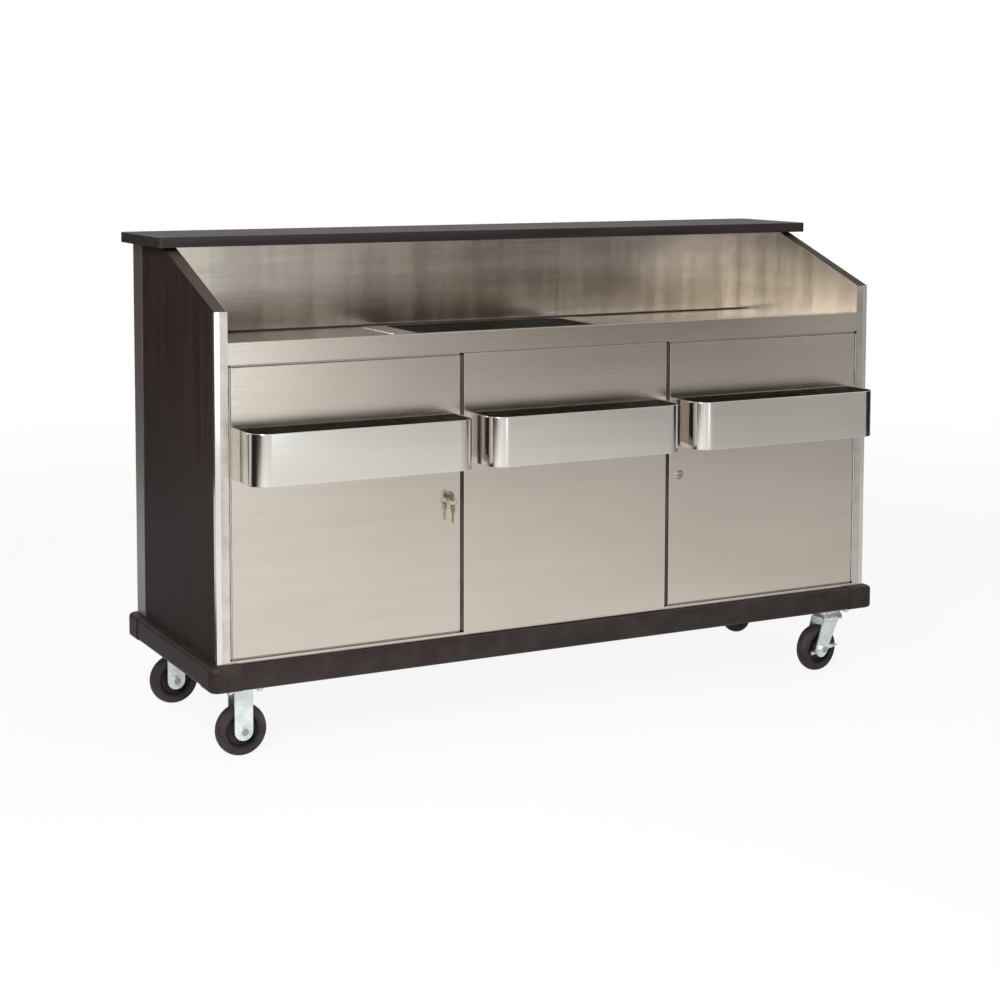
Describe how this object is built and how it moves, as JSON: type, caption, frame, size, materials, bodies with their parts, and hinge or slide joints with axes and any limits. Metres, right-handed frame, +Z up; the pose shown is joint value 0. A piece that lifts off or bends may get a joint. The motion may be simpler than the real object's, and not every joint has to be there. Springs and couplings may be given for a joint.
{
  "type": "portable bar",
  "caption": "Rolling bar with a raised laminate top, stainless work side, bottle rails on hinged cupboard doors, recessed deck, ice bin, bumper and casters",
  "frame": {"origin": "bottom centre of the bounding box, on the floor", "axes": "+X along the length to the operator's right, +Y from the operator to the guests, +Z up"},
  "size_m": [1.932, 0.755, 1.227],
  "materials": {
    "brushed_stainless": "brushed along the length, satin",
    "polished_stainless": "bright polished sheet",
    "dark_laminate": "dark brown-black laminate on plywood, satin",
    "black_laminate": "black laminate on plywood, satin",
    "grey_aluminium": "satin grey",
    "black_steel": "black powder coat",
    "bumper_rubber": "moulded, matte",
    "foam": "rigid foam, matte",
    "nickel_brass": "nickel plated",
    "lever_steel": "dipped vinyl grip",
    "hinge_steel": "satin",
    "lock_chrome": "bright plated",
    "cam_steel": "zinc plated",
    "key_brass": "worn nickel over brass",
    "zinc_steel": "bright zinc plate",
    "tyre_rubber": "moulded rubber tread",
    "wheel_core": "moulded core"
  },
  "bodies": {
    "carcass": {"base_floor": "brushed_stainless", "back_splash": "brushed_stainless", "cabinet_back": "brushed_stainless", "top_fascia": "brushed_stainless", "bottom_rails": "brushed_stainless", "centre_panel": "brushed_stainless", "partitions": "brushed_stainless", "shelves": "brushed_stainless", "left_end_liner": "brushed_stainless", "right_end_liner": "brushed_stainless", "left_worktop": "brushed_stainless", "right_worktop": "brushed_stainless", "centre_speed_rail": "polished_stainless", "edge_caps": "polished_stainless", "ice_bin": "polished_stainless", "left_end_panel": "dark_laminate", "right_end_panel": "dark_laminate", "guest_panel": "dark_laminate", "bar_top": "black_laminate", "corner_guards": "grey_aluminium", "base_frame": "black_steel", "bumper_strips": "bumper_rubber", "bumper_corners": "bumper_rubber", "bin_insulation": "foam", "drain_fitting": "nickel_brass", "drain_valve": "nickel_brass", "hinge_frame_sides": "hinge_steel", "shelf_clips": "hinge_steel", "rigid_caster_forks": "zinc_steel", "swivel_caster_mounts": "zinc_steel"},
    "left_door": {"left_door_skin": "brushed_stainless", "left_door_liner": "brushed_stainless", "left_door_hinge_leaf": "hinge_steel", "left_speed_rail": "polished_stainless", "left_lock_housing": "lock_chrome"},
    "right_door": {"right_door_skin": "brushed_stainless", "right_door_liner": "brushed_stainless", "right_door_hinge_leaf": "hinge_steel", "right_speed_rail": "polished_stainless", "right_lock_housing": "lock_chrome"},
    "left_lock": {"left_lock_plug": "lock_chrome", "left_lock_cam": "cam_steel", "door_keys": "key_brass"},
    "right_lock": {"right_lock_plug": "lock_chrome", "right_lock_cam": "cam_steel"},
    "front_swivel": {"front_swivel_fork": "zinc_steel", "front_swivel_axle": "zinc_steel"},
    "rear_swivel": {"rear_swivel_fork": "zinc_steel", "rear_swivel_axle": "zinc_steel"},
    "front_brake": {"front_brake_lever": "zinc_steel"},
    "rear_brake": {"rear_brake_lever": "zinc_steel"},
    "drain_handle": {"drain_lever": "lever_steel"},
    "front_left_wheel": {"front_left_hub": "wheel_core", "front_left_tyre": "tyre_rubber"},
    "front_right_wheel": {"front_right_hub": "wheel_core", "front_right_tyre": "tyre_rubber"},
    "rear_left_wheel": {"rear_left_hub": "wheel_core", "rear_left_tyre": "tyre_rubber"},
    "rear_right_wheel": {"rear_right_hub": "wheel_core", "rear_right_tyre": "tyre_rubber"}
  },
  "joints": [
    {"name": "left_door_hinge", "type": "hinge", "parent": "carcass", "child": "left_door", "pos_m": [-0.905, -0.259, 0.5935], "axis": [0, 0, -1], "range_deg": [0, 95]},
    {"name": "right_door_hinge", "type": "hinge", "parent": "carcass", "child": "right_door", "pos_m": [0.905, -0.259, 0.5935], "axis": [0, 0, 1], "range_deg": [0, 95]},
    {"name": "left_lock_turn", "type": "hinge", "parent": "left_door", "child": "left_lock", "pos_m": [-0.337, -0.2585, 0.591], "axis": [0, -1, 0], "range_deg": [0, 90]},
    {"name": "right_lock_turn", "type": "hinge", "parent": "right_door", "child": "right_lock", "pos_m": [0.337, -0.2585, 0.591], "axis": [0, 1, 0], "range_deg": [0, 90]},
    {"name": "drain_lever_turn", "type": "hinge", "parent": "carcass", "child": "drain_handle", "pos_m": [0, 0.0155, 0.58], "axis": [0, -1, 0], "range_deg": [0, 90]},
    {"name": "front_swivel_turn", "type": "hinge", "parent": "carcass", "child": "front_swivel", "pos_m": [0.865, -0.2065, 0.146], "axis": [0, 0, 1], "continuous": true},
    {"name": "front_brake_press", "type": "hinge", "parent": "front_swivel", "child": "front_brake", "pos_m": [0.82055, -0.21354, 0.0635], "axis": [-0.1564, 0.9877, 0], "range_deg": [0, 16]},
    {"name": "front_right_wheel_spin", "type": "hinge", "parent": "front_swivel", "child": "front_right_wheel", "pos_m": [0.82055, -0.21354, 0.0635], "axis": [-0.1564, 0.9877, 0], "continuous": true},
    {"name": "front_left_wheel_spin", "type": "hinge", "parent": "carcass", "child": "front_left_wheel", "pos_m": [-0.865, -0.2065, 0.0635], "axis": [0, 1, 0], "continuous": true},
    {"name": "rear_swivel_turn", "type": "hinge", "parent": "carcass", "child": "rear_swivel", "pos_m": [0.865, 0.2915, 0.146], "axis": [0, 0, 1], "continuous": true},
    {"name": "rear_brake_press", "type": "hinge", "parent": "rear_swivel", "child": "rear_brake", "pos_m": [0.865, 0.2465, 0.0635], "axis": [-1, 0, 0], "range_deg": [0, 16]},
    {"name": "rear_right_wheel_spin", "type": "hinge", "parent": "rear_swivel", "child": "rear_right_wheel", "pos_m": [0.865, 0.2465, 0.0635], "axis": [-1, 0, 0], "continuous": true},
    {"name": "rear_left_wheel_spin", "type": "hinge", "parent": "carcass", "child": "rear_left_wheel", "pos_m": [-0.865, 0.2915, 0.0635], "axis": [0, 1, 0], "continuous": true}
  ]
}
